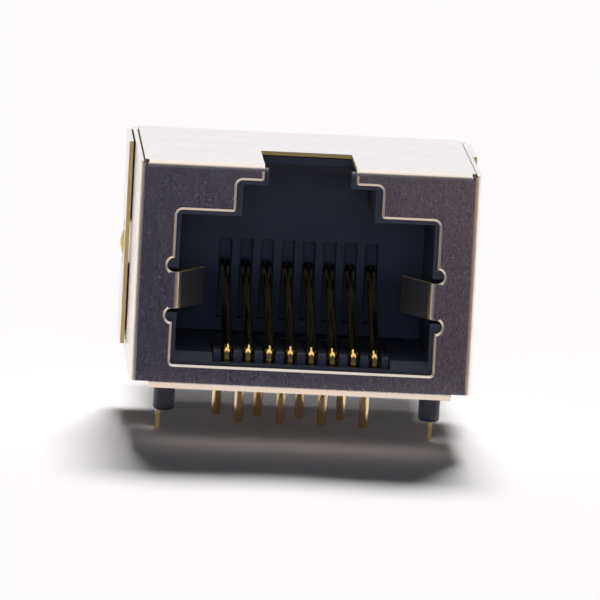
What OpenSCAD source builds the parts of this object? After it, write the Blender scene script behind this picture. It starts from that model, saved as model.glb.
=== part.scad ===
// Shielded right-angle board jack, eight ways, latch side up.
// +X is across the jack, the plug goes in along +Y and +Z is up. The origin is on the board's top, midway
// between the two locating pegs. Each piece is drawn with y = 0 at the front face, and on_board() places it.

/* [Shell] */
// Width of the shell over its side walls
shell_w = 16.4; // [16:0.1:18.4]
// Height of the shell above the board
shell_h = 11; // [10.9:0.1:13]
// Depth of the shell, front face to rear cover
shell_d = 16; // [15.4:0.1:20]
// Thickness of the sheet
sheet_t = 0.2; // [0.16:0.02:0.26]
// Inside radius of every fold in the sheet
fold_r = 0.13; // [0.1:0.01:0.16]
// Gap in the seams where two edges of the sheet meet
seam_gap = 0.07; // [0.05:0.01:0.12]
// Radius of the round relief where three folds meet at a front corner
corner_relief_r = 0.13; // [0.1:0.01:0.15]
// Width of the lip folded back under the front face
lip_w = 14.5; // [13:0.1:15]
// Depth of that lip, from the front face
lip_d = 2; // [1.4:0.1:2.2]

/* [Rear cover] */
// How far each wing of the rear cover reaches forward round a side wall
wing_reach = 6; // [4.5:0.1:7.5]
// Height of a wing's lower edge above the board
wing_z = 0.9; // [0.6:0.1:3]
// Drop of a wing's upper edge below the top of the shell
wing_drop = 0.2; // [0.1:0.05:1]
// Height of the rear cover's lower edge above the board
rear_z = 0.6; // [0.4:0.1:2]
// Radius of the round dimple that locks each wing
dimple_r = 1.1; // [0.8:0.05:1.3]
// How far a dimple stands out of its side wall
dimple_h = 0.43; // [0.3:0.01:0.45]
// Distance of the dimples from the back of the shell
dimple_back = 3.4; // [2.5:0.1:4]
// Height of the dimples above the board
dimple_z = 5.6; // [3:0.1:8]

/* [Plug cavity] */
// Width of the cavity for the plug's body
cavity_w = 12.18; // [11.9:0.02:12.4]
// Height of the cavity for the plug's body
cavity_h = 6.65; // [6.5:0.05:6.8]
// Depth of the cavity behind the front face
cavity_d = 9.7; // [9.2:0.1:10.1]
// Height of the cavity's floor above the board
floor_z = 1.8; // [1.7:0.05:1.9]
// Width of the keyway for the plug's latch
key_w = 6.38; // [6.2:0.02:6.6]
// Height from the cavity's floor to the keyway's roof
key_h = 8.2; // [8:0.05:8.4]
// Depth of the keyway behind the front face
key_d = 8.9; // [8:0.1:9.1]
// Width of the slot for the latch's lever
slot_w = 4; // [3.5:0.05:4.2]
// Size of the lead-in chamfer at the floor's front edge
lead_in = 0.43; // [0.3:0.01:0.5]

/* [Front opening] */
// Width of plastic that shows beside the body and the lever slot
reveal = 0.21; // [0.15:0.01:0.26]
// Width of plastic that shows beside the keyway
key_reveal = 0.31; // [0.2:0.01:0.36]
// Height of the opening's lower edge above the board
opening_z = 1.2; // [1:0.01:1.25]
// Corner radius of the opening
corner_r = 0.28; // [0.15:0.01:0.35]
// Width of the rolled edge round the opening
edge_w = 0.12; // [0.08:0.01:0.13]
// Depth of that rolled edge, into the sheet
edge_d = 0.08; // [0.05:0.01:0.1]
// Depth of the notch in the top panel over the latch
notch_d = 6.5; // [5:0.1:7]

/* [Ground fingers] */
// Height of the fingers' middle above the board
finger_z = 4.77; // [4.2:0.01:5.2]
// Width of a finger, up and down
finger_w = 1.74; // [1.4:0.02:2]
// Length of a finger's straight leaf
finger_len = 2.75; // [2:0.05:3]
// Angle that a finger is folded back from the front face
finger_fold = 64; // [58:1:70]
// Radius of the round relief cuts at a finger's root
relief_r = 0.34; // [0.3:0.01:0.4]
// Radius of the outward curl at a finger's tip
curl_r = 0.5; // [0.4:0.05:0.7]

/* [Solder tabs] */
// Distance between the middles of the two solder tabs
tab_pitch = 13.2; // [12.8:0.1:13.6]
// Distance of a tab's front edge behind the front face
tab_y = 5; // [4.8:0.1:6]
// Width of a tab, front to back
tab_w = 2; // [1.5:0.1:2.4]
// Width of a tab's flat end
tab_end_w = 0.8; // [0.6:0.1:1.2]
// Length of the tapered end of a tab
tab_taper = 0.8; // [0.5:0.1:1.2]

/* [Housing] */
// Clearance between the housing and the shell round it
shell_gap = 0.05; // [0.03:0.01:0.08]
// Height of the housing's underside above the board
underside_z = 0.3; // [0.28:0.01:0.36]
// Space between the back of the housing and the rear cover
rear_space = 0.4; // [0.3:0.1:1]
// Thickness of the front wall that the latch hooks behind
hook_wall = 0.9; // [0.7:0.05:1.1]
// Depth of the pocket in the roof, behind the front face
pocket_d = 6.4; // [5:0.1:6.5]
// Radius of the locating pegs
peg_r = 0.515; // [0.4:0.005:0.55]
// Distance between the two pegs
peg_pitch = 12.8; // [12.4:0.1:13]
// Distance of the pegs behind the front face
peg_y = 3.2; // [3.1:0.05:3.3]
// Length of the pegs below the board's top
peg_len = 1.4; // [1.2:0.05:2]
// Radius of the round edge at a peg's end
peg_round = 0.2; // [0.1:0.05:0.3]
// Radius of the pad round the root of each peg
pad_r = 0.95; // [0.8:0.05:1]

/* [Contacts] */
// Pitch of the contacts
pitch = 1.016; // [0.98:0.002:1.04]
// Radius of the contact wire
wire_r = 0.23; // [0.2:0.01:0.25]
// Bend radius of the wire, at its middle
wire_bend = 0.5; // [0.45:0.01:0.55]
// Rise of the spring arms towards the back
arm_angle = 20; // [16:0.5:21]
// Height of the wire's run under the cavity
run_z = 0.72; // [0.7:0.01:0.76]
// Distance of the wire's upright behind the front face
upright_y = 1.15; // [1.1:0.01:1.2]
// Height of the bend's middle at the top of the upright
upright_z = 1.5; // [1.48:0.01:1.56]
// Depth of the slots that guide the arms' ends
comb_depth = 0.9; // [0.7:0.1:1.2]
// How far the arms' ends reach into those slots
arm_into_comb = 0.35; // [0.2:0.05:0.5]
// Distance of the front row of tails behind the front face
tail_y = 9.5; // [9:0.1:10]
// Distance between the two rows of tails
row_pitch = 2.54; // [2.5:0.01:2.6]
// Length of the tails and solder tabs below the board's top
tail_len = 2.65; // [2.4:0.05:3.4]

/* [Contact insert] */
// Width of the grooves and comb slots that hold the wires
groove_w = 0.62; // [0.58:0.01:0.66]
// Clearance between the insert and the housing
insert_gap = 0.05; // [0.03:0.01:0.08]
// Distance of the comb's front behind the front face
comb_y = 0.8; // [0.78:0.01:0.84]
// Height of the comb's top above the board
comb_z = 1.95; // [1.9:0.01:2]
// Depth of the comb, front to back
comb_d = 1.6; // [1.4:0.1:2.4]
// Width of the insert's base
base_w = 10.4; // [9.6:0.1:11]
// Distance of the base's front behind the front face
base_y = 8.2; // [7.5:0.1:8.6]
// How far the base reaches behind the back row of tails
base_behind = 1.1; // [0.8:0.1:1.3]
// Height of the riser at the back of the base
riser_z = 3.6; // [2.5:0.1:5]
// Thickness of the housing's wall between the cavity's comb slots and the riser
riser_wall = 0.6; // [0.5:0.05:0.7]

/* [Hidden] */

$fn = 48;
// How far a cutting shape runs past what it cuts, and how far two lengths of sheet run together
cut = 1;
lap = 0.1;

metal = [0.86, 0.85, 0.83];
plastic = [0.13, 0.14, 0.17];
gold = [0.86, 0.68, 0.3];

// Shell
half_w = shell_w / 2;
fold_out = fold_r + sheet_t;
roof_z = shell_h - sheet_t;
fold_top_z = shell_h - fold_out;
wall_top_z = shell_h - seam_gap;
wall_end_y = shell_d - fold_out - seam_gap;
top_w = shell_w - 2 * (sheet_t + seam_gap);
top_fold_w = shell_w - 2 * (fold_out + seam_gap);
cover_w = shell_w + 2 * (sheet_t + seam_gap);
cover_fold_w = cover_w - 2 * fold_out;
wing_y = shell_d - wing_reach;
dome_r = (dimple_r * dimple_r + dimple_h * dimple_h) / (2 * dimple_h);
dome_x = half_w + dimple_h - dome_r;
wing_hole_r = sqrt(dome_r * dome_r - pow(half_w + seam_gap - dome_x, 2)) + seam_gap;
curl_angle = 50;

// Plug cavity and the shell's opening round it
shoulder_z = floor_z + cavity_h;
key_z = floor_z + key_h;
opening_w = cavity_w + 2 * reveal;
key_open_w = key_w + 2 * key_reveal;
slot_open_w = slot_w + 2 * reveal;

// Housing
housing_w = shell_w - 2 * (sheet_t + shell_gap);
housing_y = sheet_t + shell_gap;
housing_end = shell_d - sheet_t - rear_space;
housing_top = roof_z - shell_gap;
sill_z = floor_z - lead_in;
hook_y = housing_y + hook_wall;
finger_room = 0.2;
recess_w = cavity_w + 2 * fold_out + 2 * finger_len * cos(finger_fold) / 2;
recess_d = housing_y + (finger_len + curl_r) * sin(finger_fold) + 2 * finger_room;

// Contacts: the odd ways have their tails in the back row
ways = 8;
wire_gap = groove_w / 2 - wire_r;
arm_y = upright_y + wire_bend * (1 - sin(arm_angle));
arm_start_z = upright_z + wire_bend * cos(arm_angle);
arm_end_y = cavity_d + arm_into_comb;
arm_end_z = arm_start_z + (arm_end_y - arm_y) * tan(arm_angle);
tail_round = 0.12;
function way_x(n) = (n - (ways + 1) / 2) * pitch;
function way_tail_y(n) = tail_y + (n % 2) * row_pitch;

// Contact insert
tongue_w = ways * pitch + groove_w / 2;
base_z = floor_z - insert_gap;
base_end = tail_y + row_pitch + base_behind;
riser_y = cavity_d + comb_depth + riser_wall;
nose_r = wire_bend - wire_r - wire_gap;
nose_y = upright_y + wire_bend;

// ---- Shared shapes ----

// Extrudes a shape drawn in Y and Z to both sides of the jack's middle
module across(w) {
    rotate([90, 0, 90])
        linear_extrude(w, center = true)
            children();
}

// Extrudes a shape drawn in X and Z from one distance behind the front face to another
module through(from, to) {
    translate([0, to, 0])
        rotate([90, 0, 0])
            linear_extrude(to - from)
                children();
}

// Extrudes a plan shape from one height to another
module rise(from, to) {
    translate([0, 0, from])
        linear_extrude(to - from)
            children();
}

module both_sides() {
    children();
    mirror([1, 0, 0])
        children();
}

module rect(from, to) {
    translate(from)
        square(to - from);
}

// A rectangle across the jack's middle, between two values of the other axis
module band(w, from, to) {
    rect([-w / 2, from], [w / 2, to]);
}

module rounded_rect(from, to, r) {
    rect(from + [r, 0], to - [r, 0]);
    rect(from + [0, r], to - [0, r]);
    for (a = [from[0] + r, to[0] - r], b = [from[1] + r, to[1] - r])
        translate([a, b])
            circle(r);
}

// Takes the sharp corner at the origin off a sheet that lies above and to the right of it
module rounded_off(r) {
    difference() {
        rect([-r, -r], [r, r]);
        translate([r, r])
            circle(r);
        rect([0, r], [r, 2 * r]);
    }
}

// A closed loop of sheet, rounded at its four folds
module sheet_loop(from, to) {
    wall = [sheet_t, sheet_t];
    difference() {
        rounded_rect(from, to, fold_out);
        rounded_rect(from + wall, to - wall, fold_r);
    }
}

// The part of such a loop that lies in one rectangle
module loop_part(from, to, part_from, part_to) {
    intersection() {
        sheet_loop(from, to);
        rect(part_from, part_to);
    }
}

// A strip bent round the origin, from its -Y side towards +X
module bent_strip(r, angle) {
    reach = 3 * r;
    intersection() {
        difference() {
            circle(r);
            circle(r - sheet_t);
        }
        polygon([
            [0, 0], [0, -reach],
            [reach * tan(angle / 2), -reach],
            [reach * sin(angle), -reach * cos(angle)]
        ]);
    }
}

// ---- shield_shell: one folded sheet ----

module shield_shell() {
    color(metal)
        difference() {
            union() {
                difference() {
                    union() {
                        front_and_sides();
                        top_panel();
                    }
                    through(-cut, fold_out)
                        front_opening();
                    rolled_edges();
                }
                front_lip();
                rear_cover();
                both_sides() {
                    ground_finger();
                    solder_tab();
                    dimple_dome(dome_r, half_w - sheet_t / 2);
                }
            }
            top_notch();
            both_sides() {
                dimple_dome(dome_r - sheet_t, half_w - 2 * sheet_t);
                corner_relief();
            }
        }
}

// The front face with the side walls folded back from it
module front_and_sides() {
    difference() {
        rise(fold_out, wall_top_z)
            loop_part([-half_w, 0], [half_w, 2 * shell_d], [-half_w - cut, -cut], [half_w + cut, wall_end_y]);
        through(-cut, fold_out)
            band(top_fold_w + 2 * seam_gap, fold_top_z, shell_h);
    }
}

// The top, with the folds at its front and back
module top_panel() {
    high = [shell_d, shell_h];
    across(top_w)
        loop_part([0, 0], high, [fold_out, fold_top_z], [shell_d - fold_out, shell_h + cut]);
    across(top_fold_w)
        loop_part([0, 0], high, [-cut, fold_top_z - lap], high + [cut, cut]);
}

// The lip folded back under the front face
module front_lip() {
    across(lip_w)
        difference() {
            loop_part([0, 0], [shell_d, shell_h], [-cut, -cut], [lip_d, fold_out + lap]);
            rect([fold_out, sheet_t], [lip_d, fold_out + cut]);
        }
}

// The stepped opening, with the lever slot running out through the top
module front_opening() {
    rounded_rect([-opening_w / 2, opening_z], [opening_w / 2, finger_z], corner_r / 2);
    rounded_rect([-opening_w / 2, opening_z], [opening_w / 2, shoulder_z + reveal], corner_r);
    rounded_rect([-key_open_w / 2, opening_z], [key_open_w / 2, key_z + reveal], corner_r);
    band(slot_open_w, opening_z, shell_h + cut);
    both_sides() {
        translate([key_open_w / 2, shoulder_z + reveal])
            rounded_off(corner_r / 2);
        translate([slot_open_w / 2, key_z + reveal])
            rounded_off(corner_r / 2);
        for (side = [-1, 1])
            translate([opening_w / 2, finger_z + side * (finger_w / 2 + relief_r)])
                circle(relief_r);
    }
}

// The edges of the opening, rolled into the sheet by the die that punched it
module rolled_edges() {
    flared_rect([-opening_w / 2, opening_z], [opening_w / 2, finger_z], corner_r / 2);
    flared_rect([-opening_w / 2, opening_z], [opening_w / 2, shoulder_z + reveal], corner_r);
    flared_rect([-key_open_w / 2, opening_z], [key_open_w / 2, key_z + reveal], corner_r);
    rise(key_z, fold_top_z)
        flare(-slot_open_w / 2, slot_open_w / 2);
    both_sides()
        for (side = [-1, 1])
            translate([opening_w / 2, 0, finger_z + side * (finger_w / 2 + relief_r)])
                flared_round(relief_r);
}

// A round hole's rolled edge, at the origin
module flared_round(r) {
    rotate([90, 0, 0])
        translate([0, 0, -edge_d])
            cylinder(2 * edge_d, r1 = r, r2 = r + 2 * edge_w);
}

// A rounded rectangle's rolled edges, as two wedges and the round flares of its corners
module flared_rect(from, to, r) {
    rise(from[1] + r, to[1] - r)
        flare(from[0], to[0]);
    translate([from[0] + r, 0, 0])
        rotate([0, 90, 0])
            linear_extrude(to[0] - from[0] - 2 * r)
                mirror([1, 0])
                    flare(from[1], to[1]);
    for (x = [from[0] + r, to[0] - r], z = [from[1] + r, to[1] - r])
        translate([x, 0, z])
            flared_round(r);
}

// A slot's cross-section through the sheet, wider towards the front
module flare(low, high) {
    polygon([
        [low, edge_d], [high, edge_d],
        [high + 2 * edge_w, -edge_d], [low - 2 * edge_w, -edge_d]
    ]);
}

// The notch in the top panel over the latch
module top_notch() {
    rise(fold_top_z, shell_h + cut)
        rounded_rect([-slot_open_w / 2, -2 * cut], [slot_open_w / 2, notch_d], corner_r / 2);
}

// The round relief where three folds meet at a front corner
module corner_relief() {
    translate([top_fold_w / 2 + seam_gap, 0, wall_top_z])
        rotate([90, 0, 0])
            cylinder(2 * fold_out, r = corner_relief_r, center = true);
}

// A ground finger, folded back and inwards from the opening's edge
module ground_finger() {
    rise(finger_z - finger_w / 2, finger_z + finger_w / 2)
        translate([-opening_w / 2, fold_out]) {
            rect([-edge_w - lap, -fold_out], [0, -fold_r]);
            bent_strip(fold_out, finger_fold);
            rotate(finger_fold) {
                rect([0, -fold_out], [finger_len, -fold_r]);
                translate([finger_len, curl_r - fold_out])
                    bent_strip(curl_r, curl_angle);
            }
        }
}

// A solder tab on its strap, which comes in under the housing from a side wall
module solder_tab() {
    middle = tab_y + tab_w / 2;
    inner_x = (tab_pitch - sheet_t) / 2;
    fold_at = [inner_x + fold_out, -fold_r];
    difference() {
        through(tab_y, tab_y + tab_w) {
            loop_part([-half_w, 0], [half_w, shell_h], [fold_at[0], -cut], [half_w + cut, sheet_t]);
            loop_part([-half_w, 0], [half_w, shell_h], [half_w - fold_out, -cut], [half_w + cut, fold_out + lap]);
            intersection() {
                translate(fold_at)
                    difference() {
                        circle(fold_out);
                        circle(fold_r);
                    }
                rect([inner_x - cut, -fold_r], [fold_at[0], fold_out]);
            }
            rect([inner_x, -tail_len], [inner_x + sheet_t, -fold_r]);
        }
        for (side = [-1, 1])
            translate([inner_x, middle, -tail_len])
                across(2 * sheet_t + cut)
                    polygon([
                        [side * tab_end_w / 2, -cut], [side * tab_end_w / 2, 0],
                        [side * tab_w / 2, tab_taper], [side * (tab_w / 2 + cut), tab_taper],
                        [side * (tab_w / 2 + cut), -cut]
                    ]);
    }
}

// The rear cover's flat, and its wings folded round outside the side walls
module rear_cover() {
    wing_top = shell_h - wing_drop;
    rise(rear_z, fold_top_z)
        band(cover_fold_w, shell_d - sheet_t, shell_d);
    difference() {
        rise(wing_z, wing_top)
            loop_part([-cover_w / 2, 0], [cover_w / 2, shell_d], [-cover_w, wing_y], [cover_w, shell_d + cut]);
        rise(fold_top_z, shell_h)
            band(top_fold_w + 2 * seam_gap, shell_d - fold_out, shell_d + cut);
        both_sides()
            translate([half_w, shell_d - dimple_back, dimple_z])
                rotate([0, 90, 0])
                    cylinder(cut, r = wing_hole_r);
    }
}

// The outward face of a dimple, or the hollow behind it, from a given place in X outwards
module dimple_dome(r, from) {
    translate([dome_x, shell_d - dimple_back, dimple_z])
        rotate([0, 90, 0])
            rotate_extrude()
                intersection() {
                    circle(r);
                    rect([0, from - dome_x], [r, r]);
                }
}

// ---- housing: one moulding ----

module housing() {
    color(plastic) {
        difference() {
            housing_block();
            plug_cavity();
            latch_room();
            finger_recesses();
            lead_in_chamfer();
            insert_room();
            rear_comb();
        }
        both_sides()
            locating_peg();
    }
}

// The block that fills the shell, with its upright and top edges rounded clear of the folds
module housing_block() {
    front = housing_y;
    back = housing_end;
    intersection() {
        rise(underside_z, housing_top)
            rounded_rect([-housing_w / 2, front], [housing_w / 2, back], fold_out);
        across(housing_w + cut)
            rounded_rect([front, underside_z - cut], [back, housing_top], fold_out);
    }
}

module plug_cavity() {
    through(-cut, cavity_d)
        band(cavity_w, floor_z, shoulder_z);
    through(-cut, key_d)
        band(key_w, floor_z, key_z);
}

// The lever slot through the roof at the front, and the wider pocket behind the hook wall
module latch_room() {
    rise(key_z - cut, housing_top + cut) {
        band(slot_w, -cut, pocket_d);
        band(key_w, hook_y, pocket_d);
    }
}

// Room beside the cavity for the ground fingers to spring outwards
module finger_recesses() {
    half = finger_w / 2 + finger_room;
    through(-cut, recess_d)
        band(recess_w, finger_z - half, finger_z + half);
}

module lead_in_chamfer() {
    across(cavity_w)
        polygon([
            [housing_y - cut, sill_z - cut], [housing_y - cut, floor_z],
            [housing_y + lead_in, floor_z]
        ]);
}

// The channel for the insert's tongue, and the room for its base and riser
module insert_room() {
    base_room_w = base_w + 2 * insert_gap;
    end = base_end + insert_gap;
    rise(underside_z - cut, floor_z)
        band(tongue_w + 2 * insert_gap, comb_y - insert_gap, end);
    rise(sill_z, floor_z)
        band(tongue_w + 2 * insert_gap, -cut, comb_y);
    rise(underside_z - cut, floor_z)
        band(base_room_w, base_y - insert_gap, end);
    rise(floor_z - cut, riser_z + insert_gap)
        band(base_room_w, riser_y - insert_gap, end);
}

// The upright slots that guide the ends of the spring arms
module rear_comb() {
    for (n = [1:ways])
        translate([way_x(n), 0, 0])
            through(cavity_d - cut, cavity_d + comb_depth)
                band(groove_w, floor_z + groove_w, arm_end_z + 2 * groove_w);
}

module locating_peg() {
    translate([peg_pitch / 2, peg_y, 0]) {
        cylinder(underside_z, r = pad_r);
        rotate([180, 0, 0])
            rotate_extrude() {
                square([peg_r, peg_len - peg_round]);
                square([peg_r - peg_round, peg_len]);
                intersection() {
                    translate([peg_r - peg_round, peg_len - peg_round])
                        circle(peg_round);
                    square([peg_r, peg_len]);
                }
            }
    }
}

// ---- contact_insert: the moulding that carries the contacts ----

module contact_insert() {
    color(plastic)
        difference() {
            union() {
                across(tongue_w)
                    tongue_side();
                rise(underside_z, base_z)
                    band(base_w, base_y, base_end);
                rise(underside_z, riser_z)
                    band(base_w, riser_y, base_end);
            }
            for (n = [1:ways])
                translate([way_x(n), 0, 0])
                    across(groove_w)
                        wire_room(way_tail_y(n));
        }
}

// The tongue from the side: a comb with a rounded top at the front, and a flat floor behind it
module tongue_side() {
    rounded_rect([comb_y, underside_z], [comb_y + comb_d, comb_z], nose_r);
    rect([comb_y, underside_z], [comb_y + nose_r, underside_z + nose_r]);
    rect([comb_y + nose_r, underside_z], [base_y + nose_r, base_z]);
}

// Everything in one way's slot except the rounded bar that its wire wraps round
module wire_room(end_y) {
    bar_low = run_z + wire_r + wire_gap;
    difference() {
        union() {
            rect([comb_y - cut, underside_z - cut], [base_y, comb_z + cut]);
            rect([comb_y, underside_z - cut], [end_y + groove_w / 2, bar_low]);
        }
        rounded_rect([nose_y - nose_r, bar_low], [base_end, upright_z + nose_r], nose_r);
    }
}

// ---- contacts: eight bent wires ----

// A straight length of wire along +Z
module wire(length) {
    cylinder(length, r = wire_r);
}

// A bend from +Z towards +Y, with what follows it carried on from its end
module wire_turn(angle) {
    turn = abs(angle);
    side = angle < 0 ? 180 : 0;
    rotate([0, 0, side]) {
        translate([0, wire_bend, 0])
            rotate([0, -90, 0])
                rotate([0, 0, -90])
                    rotate_extrude(angle = turn)
                        translate([wire_bend, 0])
                            circle(wire_r);
        translate([0, wire_bend, 0])
            rotate([-turn, 0, 0])
                translate([0, -wire_bend, 0])
                    rotate([0, 0, -side])
                        children();
    }
}

// A tail's end, with its edge rounded
module tail_tip() {
    rotate_extrude() {
        intersection() {
            translate([wire_r - tail_round, tail_round])
                circle(tail_round);
            square([wire_r, tail_round]);
        }
        square([wire_r - tail_round, tail_round]);
    }
}

// One contact: tail, run forward, upright at the front, spring arm back
module contact(n) {
    tail = tail_len + run_z - wire_bend;
    run = way_tail_y(n) - upright_y - 2 * wire_bend;
    upright = upright_z - run_z - wire_bend;
    arm = (arm_end_y - arm_y) / cos(arm_angle);
    color(gold)
        translate([way_x(n), way_tail_y(n), -tail_len])
            rotate([0, 0, 180]) {
                tail_tip();
                translate([0, 0, tail_round])
                    wire(tail - tail_round);
                translate([0, 0, tail])
                    wire_turn(90) {
                        wire(run);
                        translate([0, 0, run])
                            wire_turn(-90) {
                                wire(upright);
                                translate([0, 0, upright])
                                    wire_turn(arm_angle - 90)
                                        wire(arm);
                            }
                    }
            }
}

// Carries a piece drawn from the front face to the origin between the two pegs
module on_board() {
    translate([0, -peg_y, 0])
        children();
}

on_board() shield_shell();
on_board() housing();
on_board() contact_insert();
for (n = [1:ways])
    on_board() contact(n);
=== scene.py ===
"""A shielded board jack on a pale floor: its finishes, its light and the photograph's view."""
import math

import bpy
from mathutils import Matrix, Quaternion, Vector

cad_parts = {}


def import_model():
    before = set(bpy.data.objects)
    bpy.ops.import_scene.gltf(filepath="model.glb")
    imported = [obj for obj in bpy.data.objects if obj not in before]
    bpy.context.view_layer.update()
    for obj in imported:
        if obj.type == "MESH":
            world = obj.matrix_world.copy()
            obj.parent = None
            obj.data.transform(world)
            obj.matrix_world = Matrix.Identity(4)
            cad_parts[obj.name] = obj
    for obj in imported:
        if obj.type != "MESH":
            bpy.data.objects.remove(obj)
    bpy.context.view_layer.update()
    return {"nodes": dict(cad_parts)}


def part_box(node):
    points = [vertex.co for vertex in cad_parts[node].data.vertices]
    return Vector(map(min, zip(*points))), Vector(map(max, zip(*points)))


MM = 0.001

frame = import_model()
shell_low, shell_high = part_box("shield_shell")

# From here on lengths are in millimetres, in the CAD's own frame. A depth is measured behind the
# front face, a drop below the top of the shell, and a half to either side of the middle.
FRONT = shell_low.y / MM
BACK = shell_high.y / MM
TOP = shell_high.z / MM
BOTTOM = shell_low.z / MM
SHEET = 0.2  # thickness of the shell's sheet
SKIN = 0.01  # how far a mask reaches past a face that it takes in

# How squarely a face looks along an axis, as that axis's part of its normal
SQUARE = 0.9
SIDELONG = 0.3
FLAT = 0.985

# Where the shell's cut edges lie
OPENING_HALF = 7
OPENING_LOW = 0.9
OPENING_DROP = 0.4
ROLLED_DEPTH = 0.07
NOTCH_HALF = 2.4
NOTCH_DROP = 0.45
NOTCH_DEPTHS = (5, 7)
WING_EDGE_OUT = 8.22
WING_EDGE_DEPTHS = (8, 12)
LOW_EDGE_LEVELS = (0.31, 1)
LOW_EDGE_DEPTH = 0.3
WALL_INSIDE = 7.99
REAR_DEPTH = 15
PANEL_SIDES = (7.5, 7.96)
LIP_DEPTHS = (1.5, 8)
TAB_TOP = -0.1
DIMPLE_RIM_OUT = 8.42
DIMPLE_RIM_SLOPE = -0.15

# Where the ground fingers lie
FINGER_HALF = 6.6
FINGER_LEVELS = (3, 7)
FINGER_EDGE_DEPTHS = (SHEET + SKIN, 3.5)
FINGER_LEAF_DEPTHS = (SHEET + 0.12, 4)

# The shell's colours, and what each place adds to its roughness
NICKEL_DEEP = (0.76, 0.735, 0.74)
NICKEL_PALE = (0.84, 0.815, 0.82)
NICKEL_MOTTLE = (0.45, 0.425, 0.43)
# Painted highlight: the brighter, creamier colours that the folds get in place of the nickel's own
FOLD_PAINTED_HIGHLIGHT_DEEP = (0.95, 0.86, 0.76)
FOLD_PAINTED_HIGHLIGHT_PALE = (1.0, 0.94, 0.86)
# Painted shade on the ground fingers' leaves, which lie in the shade behind the opening
FINGER_PAINTED_SHADE = (0.13, 0.155, 0.205)
BRASS = (0.82, 0.64, 0.26)
BRASS_UNPOLISHED = 0.5  # the share of a cut edge that doesn't shine like metal
SPECK_THRESHOLD = 0.71
SPECK_ROUGH = 0.12
BEND_ROUGH = 0.14
LEAF_ROUGH = 0.35
EDGE_ROUGH = 0.35
ROLLED_HEIGHT = 0.6  # height of the rolling lines, against the grain's

# The colours of the plastic and the wires, with painted shade on the pegs and the tails, and the
# heights where the pegs and the tails begin
BLACK_DEEP = (0.034, 0.041, 0.064)
BLACK_PALE = (0.042, 0.05, 0.076)
# Painted shade on the pegs under the jack
PEG_PAINTED_SHADE = (0.022, 0.027, 0.042)
PEG_TOP = 0
GOLD_DEEP = (0.93, 0.62, 0.17)
GOLD_PALE = (0.98, 0.72, 0.27)
# Painted shade: the tails' duller, darker gold
TAIL_PAINTED_SHADE_GOLD = (0.8, 0.6, 0.33)
TAIL_TOP = 0.2

FLOOR_HALF = 1500
FLOOR_COLOUR = (0.985, 0.967, 0.975)

# The studio's dark side, which only reflections see: where it lies, and its tones from left to
# right and far out to the sides
DARK_HALF = 400
DARK_DEPTHS = (-700, -8)
DARK_RISE = 0.01
DARK_LEFT = (0.056, 0.053, 0.079)
DARK_RIGHT = (0.18, 0.13, 0.135)
DARK_BLEND = (4, 24)
DARK_OUTER = (0.7, 0.55, 0.44)
DARK_OUTER_BLEND = (72, 144)

# The cards that only reflections see, just under the front: name, height above the dark side
# and colour
CARD_HALF = 9
CARD_DEPTHS = (-6, 2)
CARDS = (("card_back", 1.36, (0.03, 0.03, 0.04)), ("white_card", 1.38, (0.84, 0.73, 0.67)))

# The world, and its tones on the way from dark to white
HORIZON = 0.3  # half of the span in which it turns
FRONT_TILT = 1.3  # what lying behind counts for, against lying overhead
WORLD_TONES = ((0, (0.07, 0.078, 0.1)), (0.4, (0.46, 0.34, 0.25)), (0.8, (0.985, 0.97, 0.975)))
WORLD_FILL = 0.03  # the share of it that lights matt surfaces

# The lamps: direction, strength, width in degrees and colour
KEY = ((-0.06, -0.695, -0.72), 4.2, 18, (1.0, 0.99, 0.985))
FILL = ((0.03, 1, -0.06), 0.85, 20, (0.72, 0.82, 1.0))

# The flags, which keep the key off the notch, and off the floor behind the jack
NOTCH_FLAG_SIDES = (-3, 3)
NOTCH_FLAG_DEPTHS = (0.4, 7)
NOTCH_FLAG_DROP = 0.6
FLOOR_FLAG_SIDES = (-6.4, 7.9)
FLOOR_FLAG_BEHIND = (1, 12.4)
FLOOR_FLAG_RISE = 6

# The camera: the place it looks at, its way round that in degrees, its distance and its lens
LOOK_ACROSS = -0.22
LOOK_HEIGHT = 4.58
AROUND = -2.388
ABOVE = 6.657
ROLL = 2.916
DISTANCE = 580
NEAREST = 10
LENS = 726.5


# ---- Node helpers ----

class Nodes:
    """A node tree, with short calls for the nodes that the finishes and the world share."""

    def __init__(self, tree):
        self.tree = tree

    def add(self, kind, **values):
        node = self.tree.nodes.new(kind)
        for key, value in values.items():
            setattr(node, key, value)
        return node

    def link(self, start, end):
        self.tree.links.new(start, end)

    def split(self, vector):
        node = self.add("ShaderNodeSeparateXYZ")
        self.link(vector, node.inputs[0])
        return node.outputs[:3]

    def math(self, operation, *inputs):
        node = self.add("ShaderNodeMath", operation=operation)
        for socket, value in zip(node.inputs, inputs):
            if isinstance(value, (int, float)):
                socket.default_value = value
            else:
                self.link(value, socket)
        return node.outputs[0]

    def ramp(self, value, start, end, low=0, high=1, **values):
        """Low up to the start, high from the end on, and a slope between them."""
        node = self.add("ShaderNodeMapRange", **values)
        limits = {"From Min": start, "From Max": end, "To Min": low, "To Max": high}
        for name, number in limits.items():
            node.inputs[name].default_value = number
        self.link(value, node.inputs["Value"])
        return node.outputs[0]


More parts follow.
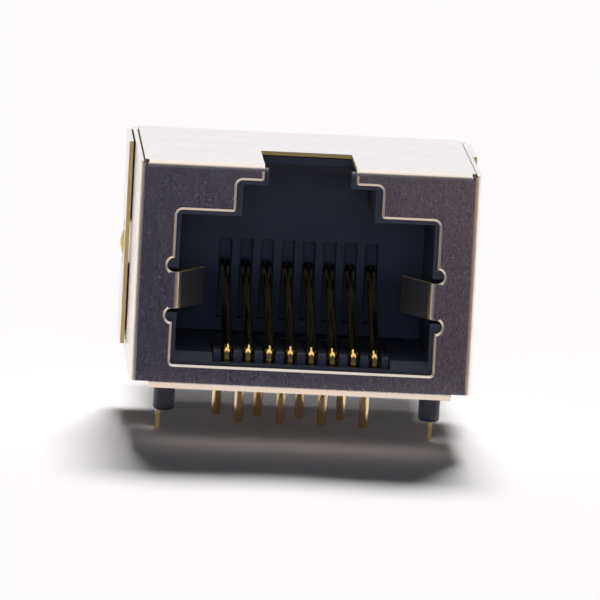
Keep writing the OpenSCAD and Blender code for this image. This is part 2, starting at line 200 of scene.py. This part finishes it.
class Shader(Nodes):
    """A material, with each point's place and normal, and calls that make masks and grain."""

    def __init__(self, name):
        self.material = bpy.data.materials.new(name)
        self.material.use_nodes = True
        super().__init__(self.material.node_tree)
        self.tree.nodes.clear()
        self.output = self.add("ShaderNodeOutputMaterial")
        self.surface = self.add("ShaderNodeBsdfPrincipled")
        self.link(self.surface.outputs["BSDF"], self.output.inputs["Surface"])
        geometry = self.add("ShaderNodeNewGeometry")
        in_mm = self.add("ShaderNodeVectorMath", operation="SCALE")
        in_mm.inputs["Scale"].default_value = 1 / MM
        self.link(geometry.outputs["Position"], in_mm.inputs[0])
        self.place = in_mm.outputs[0]
        self.x, self.y, self.z = self.split(self.place)
        self.nx, self.ny, self.nz = self.split(geometry.outputs["True Normal"])

    def size(self, value):
        return self.math("ABSOLUTE", value)

    def times(self, value, factor):
        return self.math("MULTIPLY", value, factor)

    def above(self, value, low):
        return self.math("GREATER_THAN", value, low)

    def below(self, value, high):
        return self.math("LESS_THAN", value, high)

    def between(self, value, low, high):
        return self.times(self.above(value, low), self.below(value, high))

    def facing(self, normal):
        """1 on faces that look along the normal's axis, either way."""
        return self.above(self.size(normal), SQUARE)

    def beside(self, normal):
        """1 on faces that look well away from the normal's axis."""
        return self.below(self.size(normal), SIDELONG)

    def outside(self, mask):
        return self.math("SUBTRACT", 1, mask)

    def all_of(self, result, *masks):
        for mask in masks:
            result = self.times(result, mask)
        return result

    def any_of(self, result, *masks):
        for mask in masks:
            result = self.math("MAXIMUM", result, mask)
        return result

    def sum_of(self, result, *values):
        for value in values:
            result = self.math("ADD", result, value)
        return result

    def noise(self, scale, stretch=(1, 1, 1), detail=3):
        """Noise in lumps per millimetre, drawn out along an axis by a number below 1."""
        mapping = self.add("ShaderNodeMapping")
        mapping.inputs["Scale"].default_value = stretch
        self.link(self.place, mapping.inputs["Vector"])
        node = self.add("ShaderNodeTexNoise")
        node.inputs["Scale"].default_value = scale
        node.inputs["Detail"].default_value = detail
        self.link(mapping.outputs[0], node.inputs["Vector"])
        return node.outputs["Fac"]

    def spread(self, noise, low=0, high=1):
        """Noise, most of which lies from 0.25 to 0.75, spread from low to high."""
        return self.ramp(noise, 0.25, 0.75, low, high)

    def mix(self, factor, first, second):
        """A blend of two colours, each a colour or another node's output."""
        node = self.add("ShaderNodeMix", data_type="RGBA")
        self.link(factor, node.inputs["Factor"])
        for socket, value in zip(node.inputs[6:8], (first, second)):
            if isinstance(value, tuple):
                socket.default_value = (*value, 1)
            else:
                self.link(value, socket)
        return node.outputs[2]

    def bump(self, height, depth, rounding=0.0):
        """Bump of a depth in millimetres, over edges rounded by a radius in millimetres."""
        node = self.add("ShaderNodeBump")
        node.inputs["Strength"].default_value = 1
        node.inputs["Distance"].default_value = depth * MM
        self.link(height, node.inputs["Height"])
        if rounding:
            bevel = self.add("ShaderNodeBevel", samples=6)
            bevel.inputs["Radius"].default_value = rounding * MM
            self.link(bevel.outputs[0], node.inputs["Normal"])
        self.link(node.outputs[0], self.surface.inputs["Normal"])

    def set(self, name, value):
        """Sets a socket of the surface to another node's output, a colour or a number."""
        socket = self.surface.inputs[name]
        if hasattr(value, "is_linked"):
            self.link(value, socket)
        else:
            socket.default_value = (*value, 1) if isinstance(value, tuple) else value


# ---- Finishes ----

def cut_edges(s):
    """1 on the cut edges of the sheet, where the brass under the plating shows."""
    half = s.size(s.x)
    depth = s.math("SUBTRACT", s.y, FRONT)
    opening = s.all_of(
        s.between(depth, ROLLED_DEPTH, SHEET + SKIN), s.beside(s.ny),
        s.below(half, OPENING_HALF), s.between(s.z, OPENING_LOW, TOP - OPENING_DROP))
    notch = s.all_of(
        s.above(s.z, TOP - NOTCH_DROP), s.below(half, NOTCH_HALF), s.beside(s.nz),
        s.below(depth, max(NOTCH_DEPTHS)),
        s.any_of(s.facing(s.nx), s.between(depth, *NOTCH_DEPTHS)))
    wing_front = s.all_of(
        s.facing(s.ny), s.above(half, WING_EDGE_OUT), s.between(depth, *WING_EDGE_DEPTHS))
    low_edges = s.all_of(
        s.facing(s.nz), s.between(s.z, *LOW_EDGE_LEVELS), s.above(depth, LOW_EDGE_DEPTH),
        s.any_of(s.above(half, WALL_INSIDE), s.above(depth, REAR_DEPTH)))
    panel_sides = s.all_of(
        s.facing(s.nx), s.above(s.z, TOP - SHEET - SKIN), s.between(half, *PANEL_SIDES))
    lip = s.all_of(
        s.facing(s.ny), s.between(s.z, -SKIN, SHEET + SKIN), s.between(depth, *LIP_DEPTHS))
    tabs = s.all_of(s.below(s.z, TAB_TOP), s.beside(s.nx))
    fingers = s.all_of(
        s.facing(s.nz), s.between(depth, *FINGER_EDGE_DEPTHS),
        s.below(half, FINGER_HALF), s.between(s.z, *FINGER_LEVELS))
    dimples = s.all_of(s.above(half, DIMPLE_RIM_OUT), s.below(s.ny, DIMPLE_RIM_SLOPE))
    return s.any_of(
        opening, notch, wing_front, low_edges, panel_sides, lip, tabs, fingers, dimples)


def finger_leaves(s):
    """1 on the two ground fingers behind the opening's sides, which get painted shade and more
    roughness.
    """
    depth = s.math("SUBTRACT", s.y, FRONT)
    return s.all_of(
        s.between(depth, *FINGER_LEAF_DEPTHS), s.between(s.z, *FINGER_LEVELS),
        s.below(s.size(s.x), FINGER_HALF))


def bent_places(s, leaves):
    """1 on the folds, rolled edges and dimples, where the plating is stretched and duller, and
    where a brighter, creamier colour is painted on as highlight.
    """
    straight = s.any_of(*(s.above(s.size(normal), FLAT) for normal in (s.nx, s.ny, s.nz)))
    return s.times(s.outside(straight), s.outside(leaves))


def shell_finish():
    """Nickel-plated brass sheet: satin, with fine grain, rolling lines and brass cut edges."""
    s = Shader("nickel_plated_brass_finish")
    edges = cut_edges(s)
    leaves = finger_leaves(s)
    bends = bent_places(s, leaves)
    grain = s.noise(scale=14, detail=4)
    rolled = s.noise(scale=5, stretch=(1, 0.08, 0.08))
    stain = s.noise(scale=0.35, detail=4)
    specks = s.above(s.noise(scale=3.1, detail=2), SPECK_THRESHOLD)
    blotches = s.noise(scale=13, stretch=(1, 1, 0.5), detail=2)
    towards_front = s.math("MAXIMUM", s.times(s.ny, -1), 0)
    mottled = s.times(s.spread(blotches, low=-0.1, high=0.9), towards_front)

    nickel = s.mix(s.spread(stain), NICKEL_DEEP, NICKEL_PALE)
    nickel = s.mix(mottled, nickel, NICKEL_MOTTLE)
    # Painted highlight: the folds take a brighter, creamier colour; their extra roughness is the
    # stretched plating's own
    fold_highlight = s.mix(s.spread(grain), FOLD_PAINTED_HIGHLIGHT_DEEP, FOLD_PAINTED_HIGHLIGHT_PALE)
    # Painted shade: the ground fingers' leaves take a dark blue-grey in place of the nickel
    plated = s.mix(leaves, s.mix(bends, nickel, fold_highlight), FINGER_PAINTED_SHADE)
    s.set("Base Color", s.mix(edges, plated, BRASS))
    s.set("Metallic", s.outside(s.times(edges, BRASS_UNPOLISHED)))
    s.set("Roughness", s.sum_of(
        s.spread(grain, low=0.13, high=0.2), s.spread(rolled, low=0, high=0.05),
        s.times(specks, SPECK_ROUGH), s.times(bends, BEND_ROUGH),
        s.times(leaves, LEAF_ROUGH), s.times(edges, EDGE_ROUGH)))
    s.bump(s.sum_of(grain, s.times(rolled, ROLLED_HEIGHT)), depth=0.0007, rounding=0.04)
    return s.material


def plastic_finish():
    """Black moulded plastic with the fine texture of its mould, and painted shade that darkens the
    pegs.
    """
    s = Shader("black_plastic_finish")
    texture = s.noise(scale=9, detail=5)
    black = s.mix(s.spread(s.noise(scale=0.6)), BLACK_DEEP, BLACK_PALE)
    # Painted shade: darker below the shell's bottom, on the pegs
    s.set("Base Color", s.mix(s.below(s.z, PEG_TOP), black, PEG_PAINTED_SHADE))
    s.set("Roughness", s.spread(texture, low=0.36, high=0.55))
    s.set("Specular IOR Level", 0.5)
    s.bump(texture, depth=0.005, rounding=0.05)
    return s.material


def gold_finish():
    """Gold-plated wire, bright, with faint drawing lines, and painted shade that dulls the tails.
    """
    s = Shader("gold_plated_wire_finish")
    lines = s.noise(scale=7, stretch=(1, 0.15, 0.15), detail=2)
    gold = s.mix(s.spread(s.noise(scale=0.8, detail=2)), GOLD_DEEP, GOLD_PALE)
    # Painted shade: the tails below the housing take a duller gold
    s.set("Base Color", s.mix(s.below(s.z, TAIL_TOP), gold, TAIL_PAINTED_SHADE_GOLD))
    s.set("Metallic", 1.0)
    s.set("Roughness", s.spread(lines, low=0.08, high=0.16))
    s.bump(lines, depth=0.001)
    return s.material


def dress():
    """Gives each of the CAD's pieces its finish. Those that aren't named here are the contacts."""
    shell, plastic, gold = shell_finish(), plastic_finish(), gold_finish()
    finishes = {"shield_shell": shell, "housing": plastic, "contact_insert": plastic}
    for name, node in frame["nodes"].items():
        node.data.materials.clear()
        node.data.materials.append(finishes.get(name, gold))


# ---- The studio ----

def level_sheet(name, sides, depths, height, material):
    """A level sheet of the studio, from one side to the other and from one depth to another."""
    left, right = sides
    near, far = (FRONT + depth for depth in depths)
    corners = [(left, near), (right, near), (right, far), (left, far)]
    mesh = bpy.data.meshes.new(name)
    mesh.from_pydata([Vector((x, y, height)) * MM for x, y in corners], [], [(0, 1, 2, 3)])
    mesh.materials.append(material)
    piece = bpy.data.objects.new(name, mesh)
    bpy.context.scene.collection.objects.link(piece)
    return piece


def hide_from(piece, *rays):
    """Hides a piece from the kinds of ray that are named."""
    for ray in rays:
        setattr(piece, "visible_" + ray, False)


def floor():
    """A pale, matt floor at the feet of the solder tabs."""
    s = Shader("floor_finish")
    s.set("Base Color", FLOOR_COLOUR)
    s.set("Roughness", 0.9)
    s.set("Specular IOR Level", 0.0)
    span = (-FLOOR_HALF, FLOOR_HALF)
    level_sheet("floor", span, [y - FRONT for y in span], BOTTOM, s.material)


def dark_tones(s):
    """The dark side's colour, from left to right and far out to both sides."""
    middle = s.mix(s.ramp(s.x, *DARK_BLEND), DARK_LEFT, DARK_RIGHT)
    return s.mix(s.ramp(s.size(s.x), *DARK_OUTER_BLEND), middle, DARK_OUTER)


def mirrored_only(name, half, depths, height, colour):
    """A glowing sheet that only reflections see. Its colour is one, or a function of its shader."""
    s = Shader(name + "_glow")
    s.tree.nodes.remove(s.surface)
    glow = s.add("ShaderNodeEmission")
    if callable(colour):
        s.link(colour(s), glow.inputs["Color"])
    else:
        glow.inputs["Color"].default_value = (*colour, 1)
    s.link(glow.outputs[0], s.output.inputs["Surface"])
    sheet = level_sheet(name, (-half, half), depths, height, s.material)
    hide_from(sheet, "camera", "diffuse", "transmission", "shadow")


def reflections():
    """What the jack's front mirrors: the studio's dark side, and a white card under its edge."""
    low = BOTTOM + DARK_RISE
    mirrored_only("dark_side", DARK_HALF, DARK_DEPTHS, low, dark_tones)
    for name, rise, colour in CARDS:
        mirrored_only(name, CARD_HALF, CARD_DEPTHS, low + rise, colour)


def world():
    """A light tent, white overhead and behind, and open to the dark at the front."""
    studio = bpy.data.worlds.new("studio")
    bpy.context.scene.world = studio
    studio.use_nodes = True
    sky = Nodes(studio.node_tree)
    background = sky.tree.nodes["Background"]
    _, y, z = sky.split(sky.add("ShaderNodeTexCoord").outputs["Generated"])
    slope = sky.math("ADD", z, sky.math("MULTIPLY", y, FRONT_TILT))
    shade = sky.ramp(slope, -HORIZON, HORIZON, interpolation_type="SMOOTHSTEP")
    tones = sky.add("ShaderNodeValToRGB")
    stops = tones.color_ramp.elements
    stops.new(WORLD_TONES[1][0])
    for stop, (place, colour) in zip(stops, WORLD_TONES):
        stop.position = place
        stop.color = (*colour, 1)
    sky.link(shade, tones.inputs["Fac"])
    sky.link(tones.outputs["Color"], background.inputs["Color"])
    is_diffuse = sky.add("ShaderNodeLightPath").outputs["Is Diffuse Ray"]
    held_back = sky.math("MULTIPLY", is_diffuse, 1 - WORLD_FILL)
    sky.link(sky.math("SUBTRACT", 1, held_back), background.inputs["Strength"])


def lamp(name, towards, strength, width, colour):
    """A far, wide lamp that shines in one direction and leaves no highlight of its own."""
    data = bpy.data.lights.new(name, "SUN")
    data.energy = strength
    data.angle = math.radians(width)
    data.color = colour
    light = bpy.data.objects.new(name, data)
    light.rotation_mode = "QUATERNION"
    light.rotation_quaternion = Vector(towards).to_track_quat("-Z", "Y")
    bpy.context.scene.collection.objects.link(light)
    hide_from(light, "glossy")


def lamps():
    """The key from behind and above, which lays the shadow in front, and a weak front fill."""
    lamp("key", *KEY)
    lamp("fill", *FILL)


def flag(name, sides, depths, height):
    """A card that no picture shows: it only keeps the key off what lies below it."""
    card = level_sheet(name, sides, depths, height, Shader(name + "_card").material)
    hide_from(card, "camera", "diffuse", "glossy", "transmission")


def flags():
    """One under the notch in the top, and one over the floor just behind the jack."""
    flag("notch_flag", NOTCH_FLAG_SIDES, NOTCH_FLAG_DEPTHS, TOP - NOTCH_FLAG_DROP)
    behind = [BACK - FRONT + distance for distance in FLOOR_FLAG_BEHIND]
    flag("floor_flag", FLOOR_FLAG_SIDES, behind, BOTTOM + FLOOR_FLAG_RISE)


def camera():
    """The photograph's view: from far off, a little to the left and above, and slightly rolled."""
    target = Vector((LOOK_ACROSS, FRONT, LOOK_HEIGHT)) * MM
    around, above, roll = (math.radians(angle) for angle in (AROUND, ABOVE, ROLL))
    level = math.cos(above)
    back = Vector((math.sin(around) * level, -math.cos(around) * level, math.sin(above)))
    data = bpy.data.cameras.new("camera")
    data.lens = LENS
    data.clip_start = NEAREST * MM
    cam = bpy.data.objects.new("camera", data)
    cam.location = target + back * (DISTANCE * MM)
    cam.rotation_mode = "QUATERNION"
    cam.rotation_quaternion = (-back).to_track_quat("-Z", "Y") @ Quaternion((0, 0, 1), roll)
    bpy.context.scene.collection.objects.link(cam)
    bpy.context.scene.camera = cam


camera()
dress()
floor()
reflections()
world()
lamps()
flags()
bpy.context.scene.view_settings.view_transform = "Standard"
